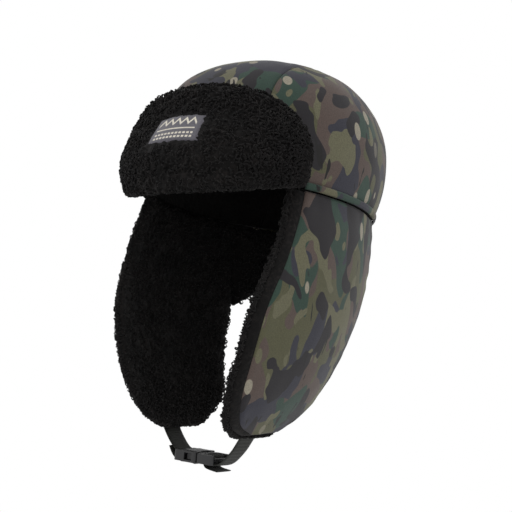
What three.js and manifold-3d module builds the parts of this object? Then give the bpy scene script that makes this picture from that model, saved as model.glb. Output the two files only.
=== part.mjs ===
// A trapper hat: a three-panel crown, a turned-up front flap, a neck curtain, two ear flaps and a
// chin strap with a side-release buckle.  Millimetres.  The hat is drawn level in its own frame
// (+Z up, -Y towards the face, +X the wearer's left) and then tipped back as it sits on a head.
import * as THREE from 'three';
import { mergeVertices } from 'three/addons/utils/BufferGeometryUtils.js';
import Module from 'manifold-3d';

const wasm = await Module();
wasm.setup();

// ---- driving dimensions ----
const TIP_BACK = THREE.MathUtils.degToRad(10); // how far the band rises towards the face
const CROWN_HALF_WIDTH = 98;
const CROWN_HALF_LENGTH = 118;
const CROWN_MIDDLE = 42; // height of the widest part above the band
const CROWN_DOME = 75; // from the widest part to the top
const CROWN_TUCK = 90; // how strongly the crown pulls in below its widest part
const CROWN_POWER = 2.3; // roundness of the dome's profile
const FRONT_SLOPE = 0.2; // share of its length by which the crown leans back over the forehead
const FRONT_SLOPE_HEIGHT = 55;
const PANEL_SEAM = 52; // distance of the long crown seams from the centre line
const BROW_START = 50; // forward of here the lower edge dips over the brow
const BROW_DIP = 14;
const BROW_SHARE = 0.05; // share of the long seam that is the upright wall over the brow
const GAP = 0.3; // between touching layers
const LINING_GAP = 1.3; // between shell and lining, wider because both are faceted
const SHELL = 1.5; // outer cloth
const CROWN_PILE = 7; // fleece lining in the crown
const FLAP_PILE = 9; // fleece lining of the ear flaps and neck curtain
const BAND_HALF_HEIGHT = 2.4; // rolled strip between crown and skirt
const FLAP_TOP = -3.2;
const FLAP_REAR = 60; // where ear flap and neck curtain meet
const NAPE_DROP = 52; // neck curtain's length at the centre back
const STRAP_WIDTH = 20;
const STRAP_THICK = 1.4;
const STRAP_Y = -40; // the chin strap lies in this plane
const STRAP_TOP = -185.4;
const STRAP_SPREAD = 36; // distance of each strap's sewn end from the centre line
const BUCKLE_Z = -204;
const BUCKLE_HALF_WIDTH = 12.5;
const RAIL = 2.1; // side rails of both buckle halves
const PRONG_REACH = 12.2;
const PRONG_TILT_ROOM = 0.3;

const hat = new THREE.Group();
hat.rotation.x = -TIP_BACK;

function material(color, roughness) {
  return new THREE.MeshStandardMaterial({ color, roughness, metalness: 0 });
}
const cloth = () => material(0x5b5747, 0.8);
const fleece = () => material(0x1d1919, 0.95);
const webbing = () => material(0x2a2b26, 0.85);
const plastic = () => material(0x2c2c2f, 0.5);

function addMesh(name, geometry, look) {
  const mesh = new THREE.Mesh(geometry, look);
  mesh.name = name;
  hat.add(mesh);
  return mesh;
}

// Welds equal corners, drops triangles that have closed up, and turns the faces outwards.
function closedBody(geometry) {
  geometry.deleteAttribute('normal');
  geometry.deleteAttribute('uv');
  const welded = mergeVertices(geometry, 1e-4);
  const place = welded.getAttribute('position');
  const corners = welded.getIndex().array;
  const kept = [];
  let volume = 0;
  const [a, b, c] = [new THREE.Vector3(), new THREE.Vector3(), new THREE.Vector3()];
  for (let i = 0; i < corners.length; i += 3) {
    const [p, q, r] = corners.slice(i, i + 3);
    if (p === q || q === r || r === p) continue;
    kept.push([p, q, r]);
    a.fromBufferAttribute(place, p);
    b.fromBufferAttribute(place, q);
    c.fromBufferAttribute(place, r);
    volume += a.dot(b.cross(c));
  }
  const outward = volume > 0 ? kept : kept.map(([p, q, r]) => [p, r, q]);
  welded.setIndex(outward.flat());
  return welded;
}

// A layer of cloth: a flat grid bent so that (along, up, depth), each 0 to 1, lands on pointAt.
function bentSheet(columns, rows, pointAt) {
  const sheet = new THREE.BoxGeometry(1, 1, 1, columns, rows, 1);
  const place = sheet.getAttribute('position');
  for (let i = 0; i < place.count; i++) {
    const point = pointAt(place.getX(i) + 0.5, place.getY(i) + 0.5, place.getZ(i) + 0.5);
    place.setXYZ(i, point.x, point.y, point.z);
  }
  return closedBody(sheet);
}

// ---- crown ----
// Less than 1 inside the crown surface moved inwards by inset, more than 1 outside it.
function crownLevel(p, inset) {
  const lean = p.y < 0 ? 1 - FRONT_SLOPE * THREE.MathUtils.smoothstep(p.z, 0, FRONT_SLOPE_HEIGHT) : 1;
  const halfLength = CROWN_HALF_LENGTH * lean - inset;
  const across = Math.hypot(p.x / (CROWN_HALF_WIDTH - inset), p.y / halfLength);
  const rise = Math.max(p.z, 0) - CROWN_MIDDLE;
  const reach = rise > 0 ? CROWN_DOME - inset : CROWN_TUCK;
  return across ** CROWN_POWER + (Math.abs(rise) / reach) ** CROWN_POWER;
}

// Where a ray from start meets the crown surface.
function onCrown(start, direction, inset) {
  let near = 0;
  let far = 260;
  const unit = direction.clone().normalize();
  const point = new THREE.Vector3();
  for (let i = 0; i < 40; i++) {
    const middle = (near + far) / 2;
    point.copy(start).addScaledVector(unit, middle);
    if (crownLevel(point, inset) < 1) near = middle;
    else far = middle;
  }
  return point;
}

function lowerEdge(y) {
  const forward = Math.max(0, -y - BROW_START) / (CROWN_HALF_LENGTH - BROW_START);
  return -BROW_DIP * forward ** 1.5;
}

// The crown's lower edge at a plan angle (0 at the wearer's left, -90 degrees at the face).
function bandPoint(angle, inset) {
  const outward = new THREE.Vector3(Math.cos(angle), Math.sin(angle), 0);
  const point = onCrown(new THREE.Vector3(), outward, inset);
  point.z = lowerEdge(point.y);
  return point;
}

// A point of the crown at distance x from the centre plane, along 0 (brow) to 1 (back).
function arcPoint(x, along, inset) {
  const forward = onCrown(new THREE.Vector3(x, 0, 0), new THREE.Vector3(0, -1, 0), inset);
  forward.z = lowerEdge(forward.y);
  const back = onCrown(new THREE.Vector3(x, 0, 0), new THREE.Vector3(0, 1, 0), inset);
  if (along <= 0) return forward;
  if (along >= 1) return back;
  const rise = Math.max(0, (along - BROW_SHARE) / (1 - BROW_SHARE));
  if (rise === 0) return forward.setZ(0);
  const first = Math.atan2(-CROWN_MIDDLE, forward.y);
  const last = Math.atan2(-CROWN_MIDDLE, back.y);
  const turn = THREE.MathUtils.lerp(first + 2 * Math.PI, last, rise);
  const hub = new THREE.Vector3(x, 0, CROWN_MIDDLE);
  return onCrown(hub, new THREE.Vector3(0, Math.cos(turn), Math.sin(turn)), inset);
}

function centrePanel(outer, inner) {
  const half = PANEL_SEAM - GAP / 2;
  return bentSheet(8, 20, (u, v, w) => {
    const inset = THREE.MathUtils.lerp(outer, inner, w);
    return arcPoint(THREE.MathUtils.lerp(-half, half, u), v, inset);
  });
}

// The half-oval between the long seam and the band, on the side that sign names.
function sidePanel(sign, outer, inner) {
  const seam = PANEL_SEAM + GAP / 2;
  const hub = new THREE.Vector3(0, 0, CROWN_MIDDLE);
  return bentSheet(20, 7, (u, v, w) => {
    const inset = THREE.MathUtils.lerp(outer, inner, w);
    const top = arcPoint(seam, u, inset);
    if (v >= 1 || u <= 0 || u >= 1) return top.setX(sign * top.x);
    const first = Math.atan2(arcPoint(seam, 0, inset).y, seam);
    const last = Math.atan2(arcPoint(seam, 1, inset).y, seam);
    const low = bandPoint(THREE.MathUtils.lerp(first, last, u), inset);
    const point = low.clone().lerp(top, v);
    if (v > 0) point.copy(onCrown(hub, point.sub(hub), inset));
    return point.setX(sign * point.x);
  });
}

function addCrown() {
  const liningFace = SHELL + LINING_GAP;
  const layers = [
    ['crown_panel', cloth, 0, SHELL],
    ['crown_lining', fleece, liningFace, liningFace + CROWN_PILE],
  ];
  for (const [name, look, outer, inner] of layers) {
    addMesh(`${name}_centre`, centrePanel(outer, inner), look());
    addMesh(`${name}_left`, sidePanel(1, outer, inner), look());
    addMesh(`${name}_right`, sidePanel(-1, outer, inner), look());
  }
}

// The rolled strip that runs from temple to temple round the back, over the skirt seam.
function addBandRoll() {
  const firstAngle = -0.64;
  const lastAngle = Math.PI - firstAngle;
  const roll = bentSheet(36, 4, (u, v, w) => {
    const angle = THREE.MathUtils.lerp(firstAngle, lastAngle, u);
    const thickness = 1 + 1.2 * Math.sin(Math.PI * v);
    const z = THREE.MathUtils.lerp(-BAND_HALF_HEIGHT, BAND_HALF_HEIGHT, v);
    const outward = new THREE.Vector3(Math.cos(angle), Math.sin(angle), 0);
    const standOff = THREE.MathUtils.lerp(LINING_GAP, LINING_GAP + thickness, w);
    return onCrown(new THREE.Vector3(0, 0, z), outward, -standOff);
  });
  addMesh('band_roll', roll, cloth());
}

// ---- ear flaps and neck curtain ----
// The skirt's outer surface on the wearer's left: half width at a fore-and-aft place and height.
function skirtHalfWidth(y, z) {
  const lean = 90 - 50 * (-z / 187) ** 2.8;
  const curl = 0.0026 + 0.0016 * Math.exp(z / 25);
  return lean - curl * (y - 0.2 * z) ** 2;
}

const flapFront = new THREE.SplineCurve([
  new THREE.Vector2(-62, FLAP_TOP),
  new THREE.Vector2(-77, -54),
  new THREE.Vector2(-89, -97),
  new THREE.Vector2(-86, -146),
  new THREE.Vector2(-72, -173),
  new THREE.Vector2(-52, -183),
]);
const flapRear = new THREE.SplineCurve([
  new THREE.Vector2(FLAP_REAR, FLAP_TOP),
  new THREE.Vector2(FLAP_REAR - 0.6, -40),
  new THREE.Vector2(FLAP_REAR - 3, -80),
  new THREE.Vector2(43, -122),
  new THREE.Vector2(27, -160),
  new THREE.Vector2(-10, -182),
]);

function earFlapLayer(sign, outer, inner) {
  return bentSheet(10, 14, (u, v, w) => {
    const drop = 1 - v;
    const edge = flapFront.getPoint(drop).lerp(flapRear.getPoint(drop), u);
    const inset = THREE.MathUtils.lerp(outer, inner, w);
    const x = skirtHalfWidth(edge.x, edge.y) - inset;
    return new THREE.Vector3(sign * x, edge.x, edge.y);
  });
}

function napeLayer(outer, inner) {
  return bentSheet(20, 6, (u, v, w) => {
    const inset = THREE.MathUtils.lerp(outer, inner, w);
    const across = THREE.MathUtils.lerp(1, -1, u);
    const bottom = -NAPE_DROP - 26 * Math.abs(across) ** 2.4;
    const z = THREE.MathUtils.lerp(bottom, FLAP_TOP, v);
    const shrink = 1 + 0.00075 * z;
    const halfWidth = 90.2 * shrink - inset;
    const halfLength = 108.6 * shrink - inset;
    const start = Math.asin((FLAP_REAR + GAP) / halfLength);
    const angle = Math.PI / 2 - across * (Math.PI / 2 - start);
    return new THREE.Vector3(halfWidth * Math.cos(angle), halfLength * Math.sin(angle), z);
  });
}

function addSkirt() {
  const liningFace = SHELL + GAP;
  for (const [side, sign] of [['left', 1], ['right', -1]]) {
    addMesh(`ear_flap_${side}_shell`, earFlapLayer(sign, 0, SHELL), cloth());
    addMesh(`ear_flap_${side}_lining`, earFlapLayer(sign, liningFace, liningFace + FLAP_PILE), fleece());
  }
  addMesh('nape_shell', napeLayer(0, SHELL), cloth());
  addMesh('nape_lining', napeLayer(liningFace, liningFace + FLAP_PILE), fleece());
}

// ---- front flap ----
const PAD_HALF_ANGLE = 0.88; // from the face's centre line to each temple
const PAD_BOTTOM = -14;
const PAD_HEIGHT = 68;
const PAD_END_HEIGHT = 16;
const PAD_LAYERS = [
  ['front_flap_backing', cloth, 0, 1.2],
  ['front_flap_interlining', () => material(0x8d8d88, 0.9), 1.5, 2.7],
  ['front_flap_pile', fleece, 3, 11],
];
const PAD_STAND_OFF = 1.8;
const PAD_END_STAND_OFF = 2.4;

// A point of the turned-up flap: across -1 to 1 from temple to temple, rise 0 to 1.
function padPoint(across, rise, depth) {
  const angle = -Math.PI / 2 + across * PAD_HALF_ANGLE;
  const span = 1 - Math.abs(across) ** 2.6;
  const bottom = PAD_BOTTOM + 13 * across ** 2;
  const top = PAD_END_HEIGHT + (PAD_HEIGHT - PAD_END_HEIGHT) * span ** 0.45;
  const standOff = PAD_STAND_OFF + (PAD_END_STAND_OFF - PAD_STAND_OFF) * across ** 2;
  const z = THREE.MathUtils.lerp(bottom, top, rise);
  const start = new THREE.Vector3(0, 0, z);
  const outward = new THREE.Vector3(Math.cos(angle), Math.sin(angle), 0);
  return onCrown(start, outward, -standOff - depth);
}

function addFrontFlap() {
  for (const [name, look, inner, outer] of PAD_LAYERS) {
    const layer = bentSheet(26, 9, (u, v, w) => {
      const across = Math.sin((u - 0.5) * Math.PI);
      return padPoint(across, v, THREE.MathUtils.lerp(inner, outer, w));
    });
    addMesh(name, layer, look());
  }
  const labelHalf = 0.215;
  const labelLow = 0.4;
  const labelHigh = 0.72;
  const outside = PAD_LAYERS[2][3];
  const label = bentSheet(10, 3, (u, v, w) => {
    const across = THREE.MathUtils.lerp(-labelHalf, labelHalf, u);
    const rise = THREE.MathUtils.lerp(labelLow, labelHigh, v);
    return padPoint(across, rise, outside + THREE.MathUtils.lerp(GAP, GAP + 0.8, w));
  });
  addMesh('woven_label', label, material(0x585660, 0.7));
}

// ---- chin strap ----
// A strap lying in an X-Z plane along the given points, STRAP_WIDTH across.
function strap(points, steps) {
  const route = new THREE.SplineCurve(points.map(([x, z]) => new THREE.Vector2(x, z)));
  const near = [];
  const far = [];
  for (let i = 0; i <= steps; i++) {
    const point = route.getPoint(i / steps);
    const tangent = route.getTangent(i / steps);
    const side = new THREE.Vector2(-tangent.y, tangent.x).multiplyScalar(STRAP_THICK / 2);
    near.push(point.clone().add(side));
    far.unshift(point.clone().sub(side));
  }
  const options = { depth: STRAP_WIDTH, bevelEnabled: false, steps: 1 };
  const band = new THREE.ExtrudeGeometry(new THREE.Shape([...near, ...far]), options);
  band.rotateX(Math.PI / 2); // the outline's second axis becomes +Z, the width runs along -Y
  band.translate(0, STRAP_Y + STRAP_WIDTH / 2, BUCKLE_Z);
  return closedBody(band);
}

const STRAP_RISE = STRAP_TOP - BUCKLE_Z;

function addStraps() {
  // Sewn end, over the socket's bar, down through its slot and back under to the stitched tail.
  const socketSide = [
    [-STRAP_SPREAD, STRAP_RISE], [-30, 10.8], [-24, 5], [-19.8, 3.2], [-16.7, 0],
    [-19.8, -3.2], [-24.5, -0.2], [-28.4, 5.4],
  ];
  addMesh('strap_right', strap(socketSide, 36), webbing());
  // Sewn end, under the end bar, over the middle bar, down through the inner slot to the tail.
  const plugSide = [
    [STRAP_SPREAD, STRAP_RISE], [30, 8.8], [22, -0.2], [17, -2.9], [13.6, -2.8], [11.9, 0],
    [10.6, 2.3], [8.2, 3], [6.1, 1.8], [5.7, -0.6], [6.2, -3.8], [9, -6.4], [18, -7.6],
  ];
  addMesh('strap_left', strap(plugSide, 44), webbing());
}

// ---- buckle ----
function solid(geometry) {
  const body = closedBody(geometry);
  const mesh = new wasm.Mesh({
    numProp: 3,
    vertProperties: body.getAttribute('position').array,
    triVerts: new Uint32Array(body.getIndex().array),
  });
  return new wasm.Manifold(mesh);
}

function block([x0, x1], [y0, y1], [z0, z1]) {
  const box = new THREE.BoxGeometry(x1 - x0, y1 - y0, z1 - z0);
  box.translate((x0 + x1) / 2, (y0 + y1) / 2, (z0 + z1) / 2);
  return solid(box);
}

// A plate with rounded outer corners, lying in X-Y.
function plate([x0, x1], halfWidth, halfThick, corner) {
  const outline = new THREE.Shape();
  outline.moveTo(x0 + corner, -halfWidth);
  outline.lineTo(x1 - corner, -halfWidth);
  outline.absarc(x1 - corner, -halfWidth + corner, corner, -Math.PI / 2, 0);
  outline.lineTo(x1, halfWidth - corner);
  outline.absarc(x1 - corner, halfWidth - corner, corner, 0, Math.PI / 2);
  outline.lineTo(x0 + corner, halfWidth);
  outline.absarc(x0 + corner, halfWidth - corner, corner, Math.PI / 2, Math.PI);
  outline.lineTo(x0, -halfWidth + corner);
  outline.absarc(x0 + corner, -halfWidth + corner, corner, Math.PI, 1.5 * Math.PI);
  const options = { depth: 2 * halfThick, bevelEnabled: false, curveSegments: 5 };
  const form = new THREE.ExtrudeGeometry(outline, options);
  form.translate(0, 0, -halfThick);
  return solid(form);
}

function fromSolid(body) {
  const mesh = body.getMesh();
  const geometry = new THREE.BufferGeometry();
  geometry.setAttribute('position', new THREE.BufferAttribute(mesh.vertProperties, 3));
  geometry.setIndex(new THREE.BufferAttribute(mesh.triVerts, 1));
  geometry.translate(0, STRAP_Y, BUCKLE_Z);
  return geometry;
}

const INNER_HALF = BUCKLE_HALF_WIDTH - RAIL;
const BAR_HALF_THICK = 1.3;
const FRAME_HALF_THICK = 4;
const WHOLE_HEIGHT = [-9, 9];

// A bar thinner than its frame: the frame's full height is cut back above and below it.
function thinBar(frame, span) {
  const width = [-INNER_HALF, INNER_HALF];
  return frame
    .subtract(block(span, width, [BAR_HALF_THICK, 9]))
    .subtract(block(span, width, [-9, -BAR_HALF_THICK]));
}

function addSocket() {
  const width = [-INNER_HALF, INNER_HALF];
  let socket = plate([-21.4, 0], BUCKLE_HALF_WIDTH, FRAME_HALF_THICK, 3);
  socket = socket.subtract(block([-13, 1], width, WHOLE_HEIGHT));
  socket = socket.subtract(block([-18.8, -14.9], width, WHOLE_HEIGHT));
  socket = thinBar(socket, [-22, -18.8]);
  // Side windows through which the prongs are pressed.
  for (const sign of [-1, 1]) {
    const side = [sign * INNER_HALF, sign * (BUCKLE_HALF_WIDTH + 1)].sort((a, b) => a - b);
    socket = socket.subtract(block([-11, -4], side, [-2.6, 2.6]));
  }
  addMesh('buckle_socket', fromSolid(socket), plastic());
}

function addPlug() {
  const width = [-INNER_HALF, INNER_HALF];
  const room = PRONG_TILT_ROOM;
  let plug = plate([room, 15.8], BUCKLE_HALF_WIDTH, 3.6, 2.4);
  plug = plug.subtract(block([4, 7.4], width, WHOLE_HEIGHT));
  plug = plug.subtract(block([10, 13.7], width, WHOLE_HEIGHT));
  plug = thinBar(plug, [7.3, 10.1]);
  plug = thinBar(plug, [13.6, 16]);
  plug = plug.add(block([-PRONG_REACH, 1], [-3, 3], [-2.2, 2.2]));
  addMesh('buckle_plug', fromSolid(plug), plastic());
}

function addProng(name, sign) {
  const outer = INNER_HALF - 0.3;
  const outline = new THREE.Shape();
  outline.moveTo(0, outer - 2.2);
  outline.lineTo(-PRONG_REACH + 3, outer - 2.2);
  outline.lineTo(-PRONG_REACH, outer - 3.4);
  outline.lineTo(-PRONG_REACH + 2.4, outer);
  outline.lineTo(-5.4, outer);
  outline.lineTo(-4.2, outer - 0.8);
  outline.lineTo(0, outer - 0.4);
  const form = new THREE.ExtrudeGeometry(outline, { depth: 4.4, bevelEnabled: false });
  form.translate(0, 0, -2.2);
  form.scale(1, sign, 1);
  const body = closedBody(form);
  body.translate(0, STRAP_Y, BUCKLE_Z);
  addMesh(name, body, plastic());
}

addCrown();
addBandRoll();
addSkirt();
addFrontFlap();
addStraps();
addSocket();
addPlug();
addProng('buckle_prong_front', -1);
addProng('buckle_prong_rear', 1);

export default hat;
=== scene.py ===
# A trapper hat in Blender: camouflage cloth, curly black fleece, webbing and a moulded buckle, built
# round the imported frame.  Shapes are worked out in millimetres in the hat's own level frame (+Z up,
# -Y towards the face, +X the wearer's left) and then tipped back with the frame, in metres.
import math

import bpy
import numpy as np
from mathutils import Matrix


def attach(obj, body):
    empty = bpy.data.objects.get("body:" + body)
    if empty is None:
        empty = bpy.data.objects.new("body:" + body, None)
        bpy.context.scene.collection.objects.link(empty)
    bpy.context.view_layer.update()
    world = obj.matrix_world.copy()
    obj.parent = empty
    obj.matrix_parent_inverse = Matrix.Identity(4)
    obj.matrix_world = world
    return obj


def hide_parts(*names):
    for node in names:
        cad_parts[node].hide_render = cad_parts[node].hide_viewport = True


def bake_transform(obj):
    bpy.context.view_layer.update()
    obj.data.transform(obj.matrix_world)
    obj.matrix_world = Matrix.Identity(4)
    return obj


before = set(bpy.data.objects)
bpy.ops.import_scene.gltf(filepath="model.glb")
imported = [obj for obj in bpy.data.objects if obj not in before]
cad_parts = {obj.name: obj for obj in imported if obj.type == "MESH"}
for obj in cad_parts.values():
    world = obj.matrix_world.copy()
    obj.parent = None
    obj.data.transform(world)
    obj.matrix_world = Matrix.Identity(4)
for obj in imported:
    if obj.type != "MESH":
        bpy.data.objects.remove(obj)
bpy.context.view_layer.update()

# ---- the frame's driving dimensions, as the CAD has them ----
TIP_BACK = math.radians(10)
CROWN_HALF_WIDTH = 98
CROWN_HALF_LENGTH = 118
CROWN_MIDDLE = 42
CROWN_DOME = 75
CROWN_TUCK = 90
CROWN_POWER = 2.3
FRONT_SLOPE = 0.2
FRONT_SLOPE_HEIGHT = 55
PANEL_SEAM = 52
BROW_START = 50
BROW_DIP = 14
BROW_SHARE = 0.05
FLAP_TOP = -3.2
FLAP_REAR = 60
NAPE_DROP = 52
PAD_HALF_ANGLE = 0.88
PAD_BOTTOM = -14
PAD_HEIGHT = 68
PAD_END_HEIGHT = 16
PAD_STAND_OFF = 1.8
PAD_END_STAND_OFF = 2.4
STRAP_Y = -40
STRAP_WIDTH = 20
BUCKLE_Z = -204

# ---- the visual pieces' own sizes ----
CROWN_CLOTH = 1.5
FLAP_CLOTH = 1.4
CROWN_FLEECE = (2.4, 9.0)  # from the cloth side to the pile side, as depths below the outer face
FLAP_FLEECE = (1.9, 12.0)
PAD_FLEECE = (2.0, 11.6)
PAD_MARGIN = 0.06  # how far the front flap's hidden layers stop short of its edges
RIM_LAYERS = 9  # rows of curls across a fleece layer's edge
LABEL_HALF = 0.235  # the label is drawn slightly wider than its CAD solid
LABEL_LOW = 0.38
LABEL_HIGH = 0.70


# ---- numbers ----
def lerp(a, b, t):
    return a + (b - a) * t


def smooth(low, high, value):
    t = np.clip((value - low) / (high - low), 0, 1)
    return t * t * (3 - 2 * t)


def in_metres(points):
    """Hat-frame millimetres to the row frame in metres."""
    points = np.asarray(points, float).reshape(-1, 3)
    c, s = math.cos(TIP_BACK), math.sin(TIP_BACK)
    x, y, z = points.T
    return np.column_stack((x, y * c + z * s, -y * s + z * c)) / 1000


def lattice_hash(ix, iy, iz, seed):
    n = ix * 374761393 + iy * 668265263 + iz * 2147483647 + seed * 1442695041
    n = (n ^ (n >> 13)) * 1274126177
    n = n ^ (n >> 16)
    return (n & 0xFFFF) / 65535.0


def value_noise(points, size, seed):
    """Smooth noise from -1 to 1 with features about size millimetres across."""
    scaled = points / size
    cell = np.floor(scaled).astype(np.int64)
    part = scaled - cell
    part = part * part * (3 - 2 * part)
    total = np.zeros(len(points))
    for dx in (0, 1):
        for dy in (0, 1):
            for dz in (0, 1):
                weight = np.ones(len(points))
                for axis, step in enumerate((dx, dy, dz)):
                    weight *= part[:, axis] if step else 1 - part[:, axis]
                corner = cell + (dx, dy, dz)
                total += weight * lattice_hash(corner[:, 0], corner[:, 1], corner[:, 2], seed)
    return total * 2 - 1


def tufts(across, up, size, seed):
    """Rounded tufts on a jittered grid: 1 at a tuft's middle and falling to 0 between tufts."""
    column = np.floor(across / size).astype(np.int64)
    row = np.floor(up / size).astype(np.int64)
    nearest = np.full(len(across), 9.0)
    for dx in (-1, 0, 1):
        for dy in (-1, 0, 1):
            ix, iy = column + dx, row + dy
            cx = ix + lattice_hash(ix, iy, ix * 0, seed)
            cy = iy + lattice_hash(ix, iy, ix * 0 + 1, seed)
            nearest = np.minimum(nearest, np.hypot(across / size - cx, up / size - cy))
    return np.clip(1 - nearest ** 2, 0, 1)


# ---- the hat's surfaces ----
def crown_level(p, inset):
    lean = np.where(p[:, 1] < 0, 1 - FRONT_SLOPE * smooth(0, FRONT_SLOPE_HEIGHT, p[:, 2]), 1.0)
    half_length = CROWN_HALF_LENGTH * lean - inset
    across = np.hypot(p[:, 0] / (CROWN_HALF_WIDTH - inset), p[:, 1] / half_length)
    rise = np.maximum(p[:, 2], 0) - CROWN_MIDDLE
    reach = np.where(rise > 0, CROWN_DOME - inset, CROWN_TUCK)
    return across ** CROWN_POWER + (np.abs(rise) / reach) ** CROWN_POWER


def on_crown(start, direction, inset):
    unit = direction / np.linalg.norm(direction, axis=1, keepdims=True)
    near = np.zeros(len(start))
    far = np.full(len(start), 260.0)
    for _ in range(34):
        middle = (near + far) / 2
        inside = crown_level(start + unit * middle[:, None], inset) < 1
        near = np.where(inside, middle, near)
        far = np.where(inside, far, middle)
    return start + unit * near[:, None]


def lower_edge(y):
    forward = np.maximum(0, -y - BROW_START) / (CROWN_HALF_LENGTH - BROW_START)
    return -BROW_DIP * forward ** 1.5


def columns_of(*parts):
    return np.column_stack(np.broadcast_arrays(*parts)).astype(float)


def arc_point(x, along, inset):
    """A point of the crown at distance x from the centre plane, along 0 (brow) to 1 (back)."""
    zero = np.zeros_like(along)
    start = columns_of(x, zero, zero)
    forward = on_crown(start, columns_of(zero, zero - 1, zero), inset)
    back = on_crown(start, columns_of(zero, zero + 1, zero), inset)
    first = np.arctan2(-CROWN_MIDDLE, forward[:, 1]) + 2 * math.pi
    last = np.arctan2(-CROWN_MIDDLE, back[:, 1])
    rise = np.clip((along - BROW_SHARE) / (1 - BROW_SHARE), 0, 1)
    turn = lerp(first, last, rise)
    hub = columns_of(x, zero, zero + CROWN_MIDDLE)
    dome = on_crown(hub, columns_of(zero, np.cos(turn), np.sin(turn)), inset)
    wall = forward.copy()
    wall[:, 2] = lower_edge(forward[:, 1]) * (1 - np.clip(along / BROW_SHARE, 0, 1))
    return np.where((along < BROW_SHARE)[:, None], wall, dome)


def side_point(sign, u, v, inset):
    """A point of a side panel: u 0 to 1 from brow to back, v 0 to 1 from band to long seam."""
    seam = np.full_like(u, PANEL_SEAM)
    zero = np.zeros_like(u)
    top = arc_point(seam, u, inset)
    first = np.arctan2(arc_point(seam, zero, inset)[:, 1], PANEL_SEAM)
    last = np.arctan2(arc_point(seam, zero + 1, inset)[:, 1], PANEL_SEAM)
    angle = lerp(first, last, u)
    low = on_crown(columns_of(zero, zero, zero), columns_of(np.cos(angle), np.sin(angle), zero), inset)
    low[:, 2] = lower_edge(low[:, 1])
    hub = columns_of(zero, zero, zero + CROWN_MIDDLE)
    mixed = lerp(low, top, v[:, None])
    point = on_crown(hub, mixed - hub, inset)
    point = np.where((v <= 0)[:, None], low, point)
    point = np.where((v >= 1)[:, None], top, point)
    point[:, 0] *= sign
    return point


def pad_point(across, rise, depth):
    angle = -math.pi / 2 + across * PAD_HALF_ANGLE
    span = np.maximum(0, 1 - np.abs(across) ** 2.6)
    bottom = PAD_BOTTOM + 13 * across ** 2
    top = PAD_END_HEIGHT + (PAD_HEIGHT - PAD_END_HEIGHT) * span ** 0.45
    stand_off = PAD_STAND_OFF + (PAD_END_STAND_OFF - PAD_STAND_OFF) * across ** 2
    z = lerp(bottom, top, rise)
    zero = np.zeros_like(z)
    outward = columns_of(np.cos(angle), np.sin(angle), zero)
    return on_crown(columns_of(zero, zero, z), outward, -(stand_off + depth))


def skirt_half_width(y, z):
    lean = 90 - 50 * (np.maximum(-z, 0) / 187) ** 2.8
    curl = 0.0026 + 0.0016 * np.exp(z / 25)
    return lean - curl * (y - 0.2 * z) ** 2


def through(points, t):
    """A smooth curve through listed points, as a Catmull-Rom spline."""
    points = np.array(points, float)
    scaled = np.clip(t, 0, 1) * (len(points) - 1)
    first = np.minimum(scaled.astype(int), len(points) - 2)
    part = (scaled - first)[:, None]
    p0 = points[np.maximum(first - 1, 0)]
    p1 = points[first]
    p2 = points[first + 1]
    p3 = points[np.minimum(first + 2, len(points) - 1)]
    m1, m2 = (p2 - p0) / 2, (p3 - p1) / 2
    t2, t3 = part ** 2, part ** 3
    return (2 * t3 - 3 * t2 + 1) * p1 + (t3 - 2 * t2 + part) * m1 + (3 * t2 - 2 * t3) * p2 + (t3 - t2) * m2


FLAP_FRONT = [(-62, FLAP_TOP), (-77, -54), (-89, -97), (-86, -146), (-72, -173), (-52, -183)]
FLAP_BACK = [(FLAP_REAR, FLAP_TOP), (59.4, -40), (57, -80), (43, -122), (27, -160), (-10, -182)]


def flap_point(sign, u, v, inset, rim=0.0):
    """A point of an ear flap: u 0 front to 1 rear, v 0 tip to 1 band; rim pulls the front edge back."""
    drop = 1 - v
    front = through(FLAP_FRONT, drop)
    rear = through(FLAP_BACK, drop)
    edge = lerp(front, rear, u[:, None])
    edge[:, 0] += rim * (1 - u) ** 2
    edge[:, 1] += 0.15 * rim * smooth(0.75, 1, drop)
    x = skirt_half_width(edge[:, 0], edge[:, 1]) - inset
    return columns_of(sign * x, edge[:, 0], edge[:, 1])


def nape_point(u, v, inset):
    across = lerp(1, -1, u)
    bottom = -NAPE_DROP - 26 * np.abs(across) ** 2.4
    z = lerp(bottom, FLAP_TOP, v)
    shrink = 1 + 0.00075 * z
    half_width = 90.2 * shrink - inset
    half_length = 108.6 * shrink - inset
    start = np.arcsin(FLAP_REAR / half_length)
    angle = math.pi / 2 - across * (math.pi / 2 - start)
    return columns_of(half_width * np.cos(angle), half_length * np.sin(angle), z)


# ---- meshes ----
def make_object(name, points, faces, material):
    mesh = bpy.data.meshes.new(name)
    mesh.from_pydata(in_metres(points).tolist(), [], faces)
    mesh.update()
    for polygon in mesh.polygons:
        polygon.use_smooth = True
    piece = bpy.data.objects.new(name, mesh)
    bpy.context.scene.collection.objects.link(piece)
    mesh.materials.append(material)
    return piece


def grid_faces(columns, rows, offset=0):
    across = columns + 1
    corner = (np.arange(rows)[:, None] * across + np.arange(columns)[None, :]).ravel() + offset
    return np.column_stack((corner, corner + 1, corner + 1 + across, corner + across))


def grid(columns, rows):
    v, u = np.meshgrid(np.linspace(0, 1, rows + 1), np.linspace(0, 1, columns + 1), indexing="ij")
    return u.ravel(), v.ravel()


def border(columns, rows):
    across = columns + 1
    bottom = list(range(across))
    right = [row * across + columns for row in range(1, rows + 1)]
    top = [rows * across + column for column in range(columns - 1, -1, -1)]
    left = [row * across for row in range(rows - 1, 0, -1)]
    return bottom + right + top + left


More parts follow.
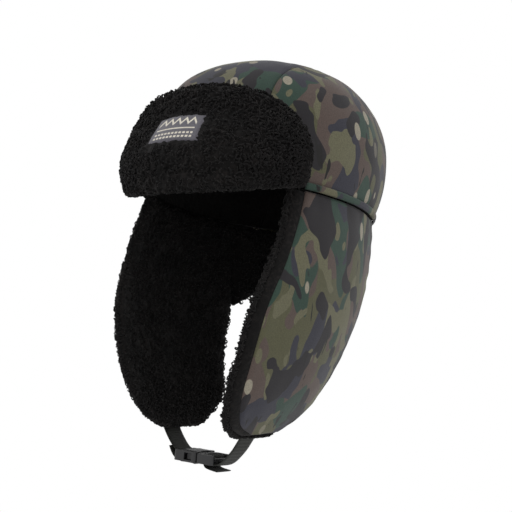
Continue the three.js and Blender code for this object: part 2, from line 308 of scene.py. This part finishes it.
def closed_sheet(name, columns, rows, face, back, material):
    """A closed body between two grids of points; the faces look outwards."""
    count = len(face)
    front = grid_faces(columns, rows)
    rear = grid_faces(columns, rows, count)[:, ::-1]
    edge = np.array(border(columns, rows))
    following = np.roll(edge, -1)
    rim = np.column_stack((following, edge, edge + count, following + count))
    faces = np.vstack((front, rear, rim))
    points = np.vstack((face, back))
    corners = points[front]
    normal = np.cross(corners[:, 2] - corners[:, 0], corners[:, 3] - corners[:, 1])
    outward = face[front].mean(axis=1) - back[front].mean(axis=1)
    if (normal * outward).sum() < 0:
        faces = faces[:, ::-1]
    return make_object(name, points, faces.tolist(), material)


def surface_normals(points, columns, rows):
    shaped = points.reshape(rows + 1, columns + 1, 3)
    along = np.gradient(shaped, axis=1)
    up = np.gradient(shaped, axis=0)
    normal = np.cross(along, up).reshape(-1, 3)
    length = np.linalg.norm(normal, axis=1, keepdims=True)
    return normal / np.maximum(length, 1e-9)


def outward_normals(face, back, columns, rows):
    normal = surface_normals(face, columns, rows)
    if (normal * (face - back)).sum() < 0:
        normal = -normal
    return normal


# ---- materials ----
def linear(red, green, blue):
    """8-bit display colour to a linear shader colour."""
    values = []
    for channel in (red, green, blue):
        c = channel / 255
        values.append(c / 12.92 if c <= 0.04045 else ((c + 0.055) / 1.055) ** 2.4)
    return (*values, 1)


class Nodes:
    """Short spellings for building a material's node tree."""

    def __init__(self, name):
        self.material = bpy.data.materials.new(name)
        self.material.use_nodes = True
        self.tree = self.material.node_tree
        self.shader = self.tree.nodes["Principled BSDF"]

    def add(self, kind, **settings):
        node = self.tree.nodes.new(kind)
        for key, value in settings.items():
            setattr(node, key, value)
        return node

    def link(self, source, target):
        self.tree.links.new(source, target)

    def mapped(self, scale, shift=(0, 0, 0), turn=(0, 0, 0)):
        place_node = self.add("ShaderNodeTexCoord")
        mapping = self.add("ShaderNodeMapping")
        mapping.inputs["Scale"].default_value = scale
        mapping.inputs["Location"].default_value = shift
        mapping.inputs["Rotation"].default_value = turn
        self.link(place_node.outputs["Object"], mapping.inputs["Vector"])
        return mapping.outputs["Vector"]

    def noise(self, vector, scale, detail=2.0, distortion=0.0, roughness=0.5):
        node = self.add("ShaderNodeTexNoise")
        node.inputs["Scale"].default_value = scale
        node.inputs["Detail"].default_value = detail
        node.inputs["Distortion"].default_value = distortion
        node.inputs["Roughness"].default_value = roughness
        self.link(vector, node.inputs["Vector"])
        return node.outputs["Fac"]

    def step(self, value, low, high):
        node = self.add("ShaderNodeMapRange")
        node.interpolation_type = "SMOOTHSTEP"
        node.inputs["From Min"].default_value = low
        node.inputs["From Max"].default_value = high
        self.link(value, node.inputs["Value"])
        return node.outputs["Result"]

    def multiply(self, a, b):
        node = self.add("ShaderNodeMath", operation="MULTIPLY")
        for socket, value in zip(node.inputs, (a, b)):
            if isinstance(value, (int, float)):
                socket.default_value = value
            else:
                self.link(value, socket)
        return node.outputs[0]

    def mix(self, factor, a, b, blend="MIX"):
        node = self.add("ShaderNodeMix", data_type="RGBA", blend_type=blend)
        sockets = [node.inputs[0], node.inputs[6], node.inputs[7]]
        for socket, value in zip(sockets, (factor, a, b)):
            if isinstance(value, (int, float, tuple)):
                socket.default_value = value
            else:
                self.link(value, socket)
        return node.outputs[2]

    def bump(self, height, strength, distance):
        node = self.add("ShaderNodeBump")
        node.inputs["Strength"].default_value = strength
        node.inputs["Distance"].default_value = distance
        self.link(height, node.inputs["Height"])
        self.link(node.outputs["Normal"], self.shader.inputs["Normal"])

    def set(self, **values):
        for key, value in values.items():
            self.shader.inputs[key.replace("_", " ")].default_value = value


TAUPE = linear(74, 62, 57)
OLIVE = linear(72, 71, 50)
GREEN = linear(36, 56, 47)
SLATE = linear(40, 40, 50)
PLUM = linear(24, 21, 25)
MOSS = linear(88, 86, 66)
PALE = linear(132, 126, 112)
TWIG = linear(17, 15, 15)


def camouflage(name, shift):
    """Printed soft cloth: overlapping leaf-like patches, pale seed shapes and thin dark twigs."""
    n = Nodes(name)
    place_vector = n.mapped((1, 1, 0.62), shift, (0.3, 0.2, 0.5))
    colour = TAUPE
    layers = [
        (OLIVE, 27, 0.50, 3.1), (GREEN, 31, 0.545, 7.7), (SLATE, 35, 0.57, 12.9),
        (MOSS, 44, 0.585, 19.3), (PLUM, 40, 0.56, 23.1),
    ]
    for tint, scale, edge, offset in layers:
        vector = n.add("ShaderNodeVectorMath", operation="ADD")
        n.link(place_vector, vector.inputs[0])
        vector.inputs[1].default_value = (offset, offset * 0.37, -offset * 0.61)
        patch = n.noise(vector.outputs[0], scale, 1.4, 0.5, 0.45)
        colour = n.mix(n.step(patch, edge, edge + 0.008), colour, tint)
    seeds = n.add("ShaderNodeTexVoronoi")
    seeds.inputs["Scale"].default_value = 88
    n.link(n.mapped((1, 1, 0.5), shift, (0.1, 0.25, 0.2)), seeds.inputs["Vector"])
    chosen = n.add("ShaderNodeSeparateColor")
    n.link(seeds.outputs["Color"], chosen.inputs[0])
    near = n.step(seeds.outputs["Distance"], 0.34, 0.30)
    colour = n.mix(n.multiply(near, n.step(chosen.outputs[0], 0.83, 0.85)), colour, PALE)
    streak = n.noise(n.mapped((1, 1, 0.2), shift, (0.2, 0.5, 0.1)), 120, 1.0, 1.2)
    patchy = n.noise(place_vector, 26, 1.0)
    twig = n.multiply(n.step(streak, 0.665, 0.68), n.step(patchy, 0.52, 0.56))
    colour = n.mix(twig, colour, TWIG)
    heather = n.noise(n.mapped((1, 1, 1)), 1500, 2.0)
    flecks = n.mix(n.step(heather, 0.3, 0.7), (0.72, 0.72, 0.72, 1), (1.1, 1.1, 1.08, 1))
    colour = n.mix(1.0, colour, flecks, "MULTIPLY")
    n.link(colour, n.shader.inputs["Base Color"])
    worn = n.noise(n.mapped((1, 1, 1)), 40, 3.0)
    rough = n.add("ShaderNodeMapRange")
    rough.inputs["To Min"].default_value = 0.62
    rough.inputs["To Max"].default_value = 0.82
    n.link(worn, rough.inputs["Value"])
    n.link(rough.outputs["Result"], n.shader.inputs["Roughness"])
    n.bump(heather, 0.25, 0.0004)
    n.set(Sheen_Weight=0.06, Sheen_Roughness=0.5, Specular_IOR_Level=0.3)
    return n.material


def fleece(name, dark, light):
    n = Nodes(name)
    curls = n.noise(n.mapped((1, 1, 1)), 420, 4.0, 0.6)
    broad = n.noise(n.mapped((1, 1, 1)), 45, 2.0)
    colour = n.mix(n.multiply(n.step(curls, 0.35, 0.75), n.step(broad, 0.2, 0.7)), dark, light)
    n.link(colour, n.shader.inputs["Base Color"])
    n.bump(curls, 0.7, 0.0008)
    n.set(Roughness=0.95, Sheen_Weight=0.04, Sheen_Roughness=0.6, Specular_IOR_Level=0.12)
    return n.material


def felt(name):
    n = Nodes(name)
    fibres = n.noise(n.mapped((1, 1, 1)), 900, 3.0)
    n.link(n.mix(fibres, linear(120, 120, 116), linear(150, 150, 144)), n.shader.inputs["Base Color"])
    n.set(Roughness=0.9)
    return n.material


def webbing(name):
    n = Nodes(name)
    threads = n.noise(n.mapped((900, 900, 2400)), 1.0, 2.0)
    colour = n.mix(n.step(threads, 0.3, 0.7), linear(13, 14, 11), linear(26, 27, 22))
    n.link(colour, n.shader.inputs["Base Color"])
    n.bump(threads, 0.35, 0.0003)
    n.set(Roughness=0.75, Sheen_Weight=0.04, Specular_IOR_Level=0.3)
    return n.material


def moulded_plastic(name):
    n = Nodes(name)
    grain = n.noise(n.mapped((1, 1, 1)), 2600, 2.0)
    scuffs = n.noise(n.mapped((1, 1, 1)), 180, 4.0)
    colour = n.mix(n.step(scuffs, 0.5, 0.8), linear(17, 17, 19), linear(28, 28, 31))
    n.link(colour, n.shader.inputs["Base Color"])
    rough = n.add("ShaderNodeMapRange")
    rough.inputs["To Min"].default_value = 0.36
    rough.inputs["To Max"].default_value = 0.6
    n.link(scuffs, rough.inputs["Value"])
    n.link(rough.outputs["Result"], n.shader.inputs["Roughness"])
    n.bump(grain, 0.2, 0.0001)
    return n.material


def label_cloth(name):
    """Woven label: fine weft lines, a row of plain chevrons, a rule and two rows of dashes."""
    n = Nodes(name)
    place_node = n.add("ShaderNodeTexCoord")
    split = n.add("ShaderNodeSeparateXYZ")
    n.link(place_node.outputs["UV"], split.inputs[0])

    def math_node(operation, a, b=0.0):
        node = n.add("ShaderNodeMath", operation=operation)
        for socket, value in zip(node.inputs, (a, b)):
            if isinstance(value, (int, float)):
                socket.default_value = value
            else:
                n.link(value, socket)
        return node.outputs[0]

    u, v = split.outputs[0], split.outputs[1]
    def bar(centre, half_height):
        distance = math_node("ABSOLUTE", math_node("SUBTRACT", v, centre))
        return math_node("LESS_THAN", distance, half_height)

    zigzag = math_node("PINGPONG", math_node("MULTIPLY", u, 7.0), 0.5)
    height = math_node("SUBTRACT", v, math_node("MULTIPLY", zigzag, 0.36))
    chevron = math_node("LESS_THAN", math_node("ABSOLUTE", math_node("SUBTRACT", height, 0.64)), 0.045)
    inside_u = math_node("LESS_THAN", math_node("ABSOLUTE", math_node("SUBTRACT", u, 0.5)), 0.36)
    dashes = math_node("GREATER_THAN", math_node("FRACT", math_node("MULTIPLY", u, 15.0)), 0.35)
    rows = n.multiply(math_node("MAXIMUM", bar(0.32, 0.03), bar(0.2, 0.03)), dashes)
    solid_marks = math_node("MAXIMUM", chevron, bar(0.48, 0.02))
    mark = n.multiply(math_node("MAXIMUM", solid_marks, rows), inside_u)
    weft = n.noise(n.mapped((700, 700, 3800)), 1.0, 1.0)
    ground = n.mix(n.step(weft, 0.3, 0.7), linear(64, 62, 69), linear(84, 82, 89))
    thread = n.mix(n.step(weft, 0.3, 0.7), linear(176, 170, 156), linear(205, 200, 186))
    n.link(n.mix(mark, ground, thread), n.shader.inputs["Base Color"])
    n.bump(weft, 0.4, 0.0003)
    n.set(Roughness=0.7, Sheen_Weight=0.2, Specular_IOR_Level=0.3)
    return n.material


# ---- cloth pieces ----
def soft_folds(points, amount, seed):
    broad = value_noise(points, 34, seed)
    small = value_noise(points, 13, seed + 1)
    return amount * (broad + 0.35 * small)


def cloth_sheet(name, columns, rows, point_at, thickness, material, seam_distance, amount=0.8, seed=1):
    """A cloth panel whose edges turn in at its seams, with puckers beside them."""
    u, v = grid(columns, rows)
    face = point_at(u, v, 0.0)
    back = point_at(u, v, thickness)
    normal = outward_normals(face, back, columns, rows)
    distance = seam_distance(u, v)
    rolled = np.exp(-((distance / 1.6) ** 2))
    pucker = np.exp(-distance / 7) * value_noise(face, 7.5, seed + 5)
    lift = soft_folds(face, amount, seed) * smooth(0, 14, distance) + 0.7 * pucker * smooth(0, 2, distance)
    face = face + normal * (lift - 1.5 * rolled)[:, None]
    back = face - normal * (thickness * 0.9)
    return closed_sheet(name, columns, rows, face, back, material)


def pile_sheet(name, columns, rows, point_at, near, far, material, size, tuft=4.2, height=1.6, seed=1,
               round_over=8.0, flat_back=False):
    """A fleece layer from its cloth side (near) to its pile side (far), rounded at its edges."""
    width, length = size
    u, v = grid(columns, rows)
    edge = np.minimum(np.minimum(u, 1 - u) * width, np.minimum(v, 1 - v) * length)
    t = np.clip(edge / round_over, 0, 1)
    full = np.sqrt(1 - (1 - t) ** 2) * 0.78 + 0.22
    middle = lerp(near, far, 0.5)
    depth_far = lerp(middle, far, full)
    depth_near = lerp(middle, near, 1.0 if flat_back else np.minimum(1, full * 1.1))
    face = point_at(u, v, depth_far)
    back = point_at(u, v, depth_near)
    normal = outward_normals(face, back, columns, rows)
    curl = tufts(u * width, v * length, tuft, seed)
    fine = tufts(u * width + 31, v * length + 17, tuft * 0.55, seed + 3)
    lift = height * (0.7 * curl + 0.45 * fine - 0.75)
    face = face + normal * lift[:, None]
    piece = closed_sheet(name, columns, rows, face, back, material)
    return piece, face, back, normal


def rim_anchors(face, back, columns, rows):
    """Points all over the narrow edge between a layer's two sides, and the way out from each."""
    edge = np.array(border(columns, rows))
    shares = np.linspace(0.0, 1.0, RIM_LAYERS)
    anchors = np.vstack([lerp(back[edge], face[edge], share) for share in shares])
    out = anchors - face.mean(axis=0)
    out /= np.linalg.norm(out, axis=1, keepdims=True)
    return anchors, out


def curl_mesh(name, anchors, normals, count, material, seed, size=(1.1, 1.9), thick=0.5):
    """Small open rings of yarn standing out of the pile, each turned its own way."""
    rng = np.random.default_rng(seed)
    chosen = rng.choice(len(anchors), count, replace=False)
    centre = anchors[chosen]
    out = normals[chosen]
    other = rng.normal(size=(count, 3))
    side = np.cross(out, other)
    side /= np.linalg.norm(side, axis=1, keepdims=True)
    lean = out + 0.55 * np.cross(side, out) * rng.uniform(-1, 1, (count, 1))
    lean /= np.linalg.norm(lean, axis=1, keepdims=True)
    radius = rng.uniform(*size, count)[:, None]
    thickness = thick * rng.uniform(0.8, 1.2, count)[:, None]
    binormal = np.cross(side, lean)
    rings, sides = 6, 4
    start = rng.uniform(-0.6, 0.4, count)[:, None]
    points = np.zeros((count, rings, sides, 3))
    for ring in range(rings):
        angle = start + math.radians(265) * ring / (rings - 1) - 0.4
        radial = np.cos(angle) * side + np.sin(angle) * lean
        taper = 1.0 if 0 < ring < rings - 1 else 0.55
        core = centre + lean * radius * 0.35 + radial * radius
        for corner in range(sides):
            turn = 2 * math.pi * corner / sides
            offset = math.cos(turn) * radial + math.sin(turn) * binormal
            points[:, ring, corner] = core + offset * thickness * taper
    base = (np.arange(count) * rings * sides)[:, None]
    faces = []
    for ring in range(rings - 1):
        for corner in range(sides):
            a = ring * sides + corner
            b = ring * sides + (corner + 1) % sides
            faces.append(base + np.array([a, b, b + sides, a + sides]))
    last = (rings - 1) * sides
    faces.append(base + np.array([3, 2, 1, 0]))
    faces.append(base + np.array([last, last + 1, last + 2, last + 3]))
    return make_object(name, points.reshape(-1, 3), np.vstack(faces).tolist(), material)


def ride_all(pieces, body, replaced=None):
    for piece in pieces:
        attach(piece, body)
        if replaced:
            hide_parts(replaced)


def build_crown():
    def centre(u, v, inset):
        return arc_point(lerp(-PANEL_SEAM, PANEL_SEAM, u), v, inset)

    def centre_seam(u, v):
        return np.minimum(np.minimum(u, 1 - u) * 2 * PANEL_SEAM, (1 - v) * 260)

    panel = cloth_sheet("crown_cloth_centre", 70, 150, centre, CROWN_CLOTH,
                        camouflage("camo_centre", (0.0, 0.02, 0.01)), centre_seam, seed=11)
    ride_all([panel], "crown", "crown_panel_centre")
    for side, sign, shift, seed in (("left", 1, (0.31, 0.1, 0.2), 21), ("right", -1, (0.6, 0.3, 0.1), 31)):
        def wall(u, v, inset, sign=sign):
            return side_point(sign, u, v, inset)

        def wall_seam(u, v):
            return np.minimum((1 - v) * 105 * np.sin(np.pi * np.clip(u, 0.02, 0.98)), v * 105)

        panel = cloth_sheet(f"crown_cloth_{side}", 150, 66, wall, CROWN_CLOTH,
                            camouflage(f"camo_{side}", shift), wall_seam, seed=seed)
        ride_all([panel], "crown", f"crown_panel_{side}")


def build_crown_lining(pile):
    def centre(u, v, inset):
        return arc_point(lerp(-PANEL_SEAM, PANEL_SEAM, u), v, inset)

    piece, *_ = pile_sheet("crown_fleece_centre", 80, 190, centre, *CROWN_FLEECE, pile,
                           (104, 330), 4.6, seed=41, round_over=4)
    ride_all([piece], "crown", "crown_lining_centre")
    for side, sign in (("left", 1), ("right", -1)):
        def wall(u, v, inset, sign=sign):
            return side_point(sign, u, v, inset)

        piece, *_ = pile_sheet(f"crown_fleece_{side}", 170, 70, wall, *CROWN_FLEECE, pile,
                               (240, 100), 4.6, seed=43 + sign, round_over=4)
        ride_all([piece], "crown", f"crown_lining_{side}")


def build_band(material):
    """The rolled strip: a soft tube-like fold between two pressed seams."""
    columns, rows = 220, 12
    u, v = grid(columns, rows)
    angle = lerp(-0.64, math.pi + 0.64, u)
    z = lerp(-2.6, 2.6, v)
    zero = np.zeros_like(u)
    outward = columns_of(np.cos(angle), np.sin(angle), zero)
    base = on_crown(columns_of(zero, zero, z), outward, -0.4)
    crown = np.sqrt(np.clip(1 - (2 * v - 1) ** 2, 0, 1))
    uneven = 1 + 0.12 * value_noise(base, 16, 51) + 0.06 * value_noise(base, 5, 52)
    face = base + outward * (0.2 + 2.3 * crown * uneven)[:, None]
    face[:, 2] += 0.4 * value_noise(base, 25, 53)
    piece = closed_sheet("band_rolled_strip", columns, rows, face, base, material)
    ride_all([piece], "crown", "band_roll")


def build_ear_flaps(pile):
    for side, sign, shift, seed in (
        ("left", 1, (0.17, 0.55, 0.42), 61),
        ("right", -1, (0.8, 0.15, 0.7), 71),
    ):
        body = f"ear_flap_{side}"

        def shell(u, v, inset, sign=sign):
            return flap_point(sign, u, v, inset, 6.0)

        def lining(u, v, inset, sign=sign):
            return flap_point(sign, u, v, inset)

        def edge(u, v):
            return np.minimum(np.minimum(u * 120, (1 - u) * 400 + 3), np.minimum(v * 185, (1 - v) * 185))

        cloth = cloth_sheet(f"{body}_cloth", 90, 130, shell, FLAP_CLOTH,
                            camouflage(f"camo_flap_{side}", shift), edge, 0.7, seed)
        backing, face, back, normal = pile_sheet(f"{body}_fleece", 130, 170, lining, *FLAP_FLEECE, pile,
                                                 (130, 190), 4.2, 1.8, seed + 3)
        curls = curl_mesh(f"{body}_fleece_curls", face, normal, 3400, pile, seed + 4)
        rim, out = rim_anchors(face, back, 130, 170)
        rim_curls = curl_mesh(f"{body}_rim_curls", rim, out, 2600, pile, seed + 5)
        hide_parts(f"{body}_shell")
        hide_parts(f"{body}_lining")
        for piece, slot in ((cloth, "camo_cloth"), (backing, "fleece"), (curls, "fleece"),
                            (rim_curls, "fleece")):
            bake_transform(piece)
        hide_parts(f"{body}_lining")
        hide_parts(f"{body}_lining")


def build_nape(pile):
    def seam(u, v):
        return np.minimum((1 - v) * 60, v * 60)

    cloth = cloth_sheet("nape_cloth", 120, 50, nape_point, FLAP_CLOTH,
                        camouflage("camo_nape", (0.5, 0.8, 0.3)), seam, 0.7, 81)
    ride_all([cloth], "crown", "nape_shell")
    piece, face, _, normal = pile_sheet("nape_fleece", 150, 60, nape_point, *FLAP_FLEECE, pile,
                                        (190, 66), 4.2, 1.8, 83)
    curls = curl_mesh("nape_fleece_curls", face, normal, 1500, pile, 84)
    ride_all([piece, curls], "crown", "nape_lining")


def build_front_flap(pile, backing_cloth, stiffener):
    def layer(u, v, depth):
        return pad_point(np.sin((u - 0.5) * math.pi), v, depth)

    for name, near, far, material, slot, node in (
        ("front_flap_cloth", 0.0, 1.3, backing_cloth, "camo_cloth", "front_flap_backing"),
        ("front_flap_stiffener", 1.4, 1.9, stiffener, "interlining", "front_flap_interlining"),
    ):
        u, v = grid(120, 40)
        u = lerp(PAD_MARGIN, 1 - PAD_MARGIN, u)
        v = lerp(PAD_MARGIN, 1 - PAD_MARGIN, v)
        hidden = closed_sheet(name, 120, 40, layer(u, v, near), layer(u, v, far), material)
        ride_all([hidden], "front_flap", node)
    columns, rows = 260, 80
    piece, face, back, normal = pile_sheet("front_flap_fleece", columns, rows, layer, *PAD_FLEECE, pile,
                                           (240, 82), 4.2, 2.0, 91, 9, True)
    u, v = grid(columns, rows)
    across = np.sin((u - 0.5) * math.pi)
    bare = (np.abs(across) < LABEL_HALF) & (v > LABEL_LOW) & (v < LABEL_HIGH)
    curls = curl_mesh("front_flap_fleece_curls", face[~bare], normal[~bare], 3800, pile, 94)
    rim, out = rim_anchors(face, back, columns, rows)
    rim_curls = curl_mesh("front_flap_rim_curls", rim, out, 1800, pile, 95)
    ride_all([piece, curls, rim_curls], "front_flap", "front_flap_pile")


def build_label():
    columns, rows = 60, 30
    u, v = grid(columns, rows)
    across = lerp(-LABEL_HALF, LABEL_HALF, u)
    rise = lerp(LABEL_LOW, LABEL_HIGH, v)
    edge = np.minimum(np.minimum(u, 1 - u) * 46, np.minimum(v, 1 - v) * 27)
    sunk = 12.6 - 2.2 * np.exp(-((edge / 2.2) ** 2))
    face = pad_point(across, rise, sunk)
    back = pad_point(across, rise, sunk - 0.8)
    face[:, 2] += 1.2 * np.cos((u - 0.5) * math.pi)
    back[:, 2] += 1.2 * np.cos((u - 0.5) * math.pi)
    piece = closed_sheet("front_flap_woven_label", columns, rows, face, back, label_cloth("label_weave"))
    layer = piece.data.uv_layers.new(name="label")
    flat = np.concatenate((u, u)), np.concatenate((v, v))
    for loop in piece.data.loops:
        index = loop.vertex_index
        layer.data[loop.index].uv = (flat[0][index], flat[1][index])
    ride_all([piece], "front_flap", "woven_label")


# ---- straps and buckle ----
SOCKET_ROUTE = [(-40, 26), (-36, 18.6), (-30, 10.8), (-24, 5), (-19.8, 3.2), (-16.7, 0),
                (-19.8, -3.2), (-24.5, -0.2), (-28.4, 5.4)]
PLUG_ROUTE = [(41, 26), (36, 18.6), (30, 8.8), (22, -0.2), (17, -2.9), (13.6, -2.8), (11.9, 0), (10.6, 2.3),
              (8.2, 3), (6.1, 1.8), (5.7, -0.6), (6.2, -3.8), (9, -6.4), (18, -7.6)]


def build_strap(name, route, material, node):
    """Webbing with a rounded selvedge and a rib for every few picks of the weave."""
    columns, rows = 360, 10
    u, v = grid(columns, rows)
    path = through(route, u)
    tangent = np.gradient(through(route, np.linspace(0, 1, columns + 1)), axis=0)
    tangent /= np.linalg.norm(tangent, axis=1, keepdims=True)
    tangent = np.tile(tangent, (rows + 1, 1))
    normal = np.column_stack((-tangent[:, 1], tangent[:, 0]))
    length = np.linalg.norm(np.diff(through(route, np.linspace(0, 1, 400)), axis=0), axis=1).sum()
    selvedge = np.sqrt(np.clip(1 - (2 * v - 1) ** 8, 0.02, 1))
    rib = 0.11 * np.sin(u * length / 1.5 * 2 * math.pi)
    half = 0.62 * selvedge + rib * smooth(0, 0.12, np.minimum(v, 1 - v))
    y = STRAP_Y + (v - 0.5) * STRAP_WIDTH
    face = columns_of(path[:, 0] + normal[:, 0] * half, y, BUCKLE_Z + path[:, 1] + normal[:, 1] * half)
    back = columns_of(path[:, 0] - normal[:, 0] * half, y, BUCKLE_Z + path[:, 1] - normal[:, 1] * half)
    piece = closed_sheet(name, columns, rows, face, back, material)
    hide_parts(node)
    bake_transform(piece)


def rounded_plate(name, outline, low, high, material):
    """A moulded plate in X-Y, its edges softened by a bevel."""
    count = len(outline)
    points = [(x, STRAP_Y + y, BUCKLE_Z + z) for z in (low, high) for x, y in outline]
    faces = [list(range(count))[::-1], list(range(count, 2 * count))]
    for i in range(count):
        j = (i + 1) % count
        faces.append([i, j, j + count, i + count])
    piece = make_object(name, points, faces, material)
    for polygon in piece.data.polygons:
        polygon.use_smooth = False
    bevel = piece.modifiers.new("soft_edges", "BEVEL")
    bevel.width = 0.0005
    bevel.segments = 3
    bevel.limit_method = "ANGLE"
    return piece


def build_buckle(plastic):
    for node in ("buckle_socket", "buckle_plug", "buckle_prong_front", "buckle_prong_rear"):
        cad = bpy.data.objects[node]
        cad.data.materials.clear()
        cad.data.materials.append(plastic)
    outline = [(-14.8, -11.6), (-11, -10.2), (-4.5, -10.2), (-1.2, -12.3), (-0.2, -11.6)]
    for i in range(9):
        angle = -math.pi / 2 + math.pi * i / 8
        outline.append((-0.2 - 2.6 * math.cos(angle), 6 * math.sin(angle)))
    outline += [(-0.2, 11.6), (-1.2, 12.3), (-4.5, 10.2), (-11, 10.2), (-14.8, 11.6)]
    for name, low, high in (("buckle_socket_top", 2.9, 4.6), ("buckle_socket_under", -4.6, -2.9)):
        piece = rounded_plate(name, outline, low, high, plastic)
        ride_all([piece], "strap_socket_side")


# ---- studio ----
def build_studio():
    scene = bpy.context.scene
    world = bpy.data.worlds.new("studio")
    scene.world = world
    world.use_nodes = True
    background = world.node_tree.nodes["Background"]
    background.inputs["Color"].default_value = (1, 1, 1, 1)
    background.inputs["Strength"].default_value = 1.0
    scene.view_settings.view_transform = "Standard"
    for name, spot, energy, size in (
        ("key_light", (-0.5, -1.6, 1.5), 9, 1.4),
        ("side_light", (1.7, -0.6, 0.7), 3, 1.2),
        ("rear_light", (0.6, 1.6, 1.0), 3, 1.2),
    ):
        light = bpy.data.lights.new(name, "AREA")
        light.energy = energy
        light.size = size
        lamp = bpy.data.objects.new(name, light)
        scene.collection.objects.link(lamp)
        lamp.location = spot
        aim = -np.array(spot)
        lamp.rotation_euler = (math.atan2(math.hypot(aim[0], aim[1]), -aim[2]), 0,
                               math.atan2(aim[1], aim[0]) - math.pi / 2)


def build_camera():
    azimuth = math.radians(34)
    distance = 0.65
    sideways = -0.0034
    height = -0.041
    camera_data = bpy.data.cameras.new("camera")
    camera_data.lens = 54.4
    camera_data.sensor_width = 36
    camera = bpy.data.objects.new("camera", camera_data)
    bpy.context.scene.collection.objects.link(camera)
    right = np.array([math.cos(azimuth), math.sin(azimuth), 0])
    back = np.array([math.sin(azimuth), -math.cos(azimuth), 0])
    camera.location = right * sideways + back * distance + (0, 0, height)
    camera.rotation_euler = (math.pi / 2, 0, azimuth)
    bpy.context.scene.camera = camera


def build_hat():
    pile = fleece("black_fleece", linear(9, 8, 8), linear(30, 27, 26))
    plain_camo = camouflage("camo_band", (0.9, 0.4, 0.6))
    build_crown()
    build_crown_lining(pile)
    build_band(plain_camo)
    build_ear_flaps(pile)
    build_nape(pile)
    build_front_flap(pile, plain_camo, felt("stiffener"))
    build_label()
    strap_look = webbing("ribbed_webbing")
    build_strap("strap_right_webbing", SOCKET_ROUTE, strap_look,
                "strap_right")
    build_strap("strap_left_webbing", PLUG_ROUTE, strap_look,
                "strap_left")
    build_buckle(moulded_plastic("black_plastic"))


build_studio()
build_camera()
build_hat()

bpy.context.view_layer.update()
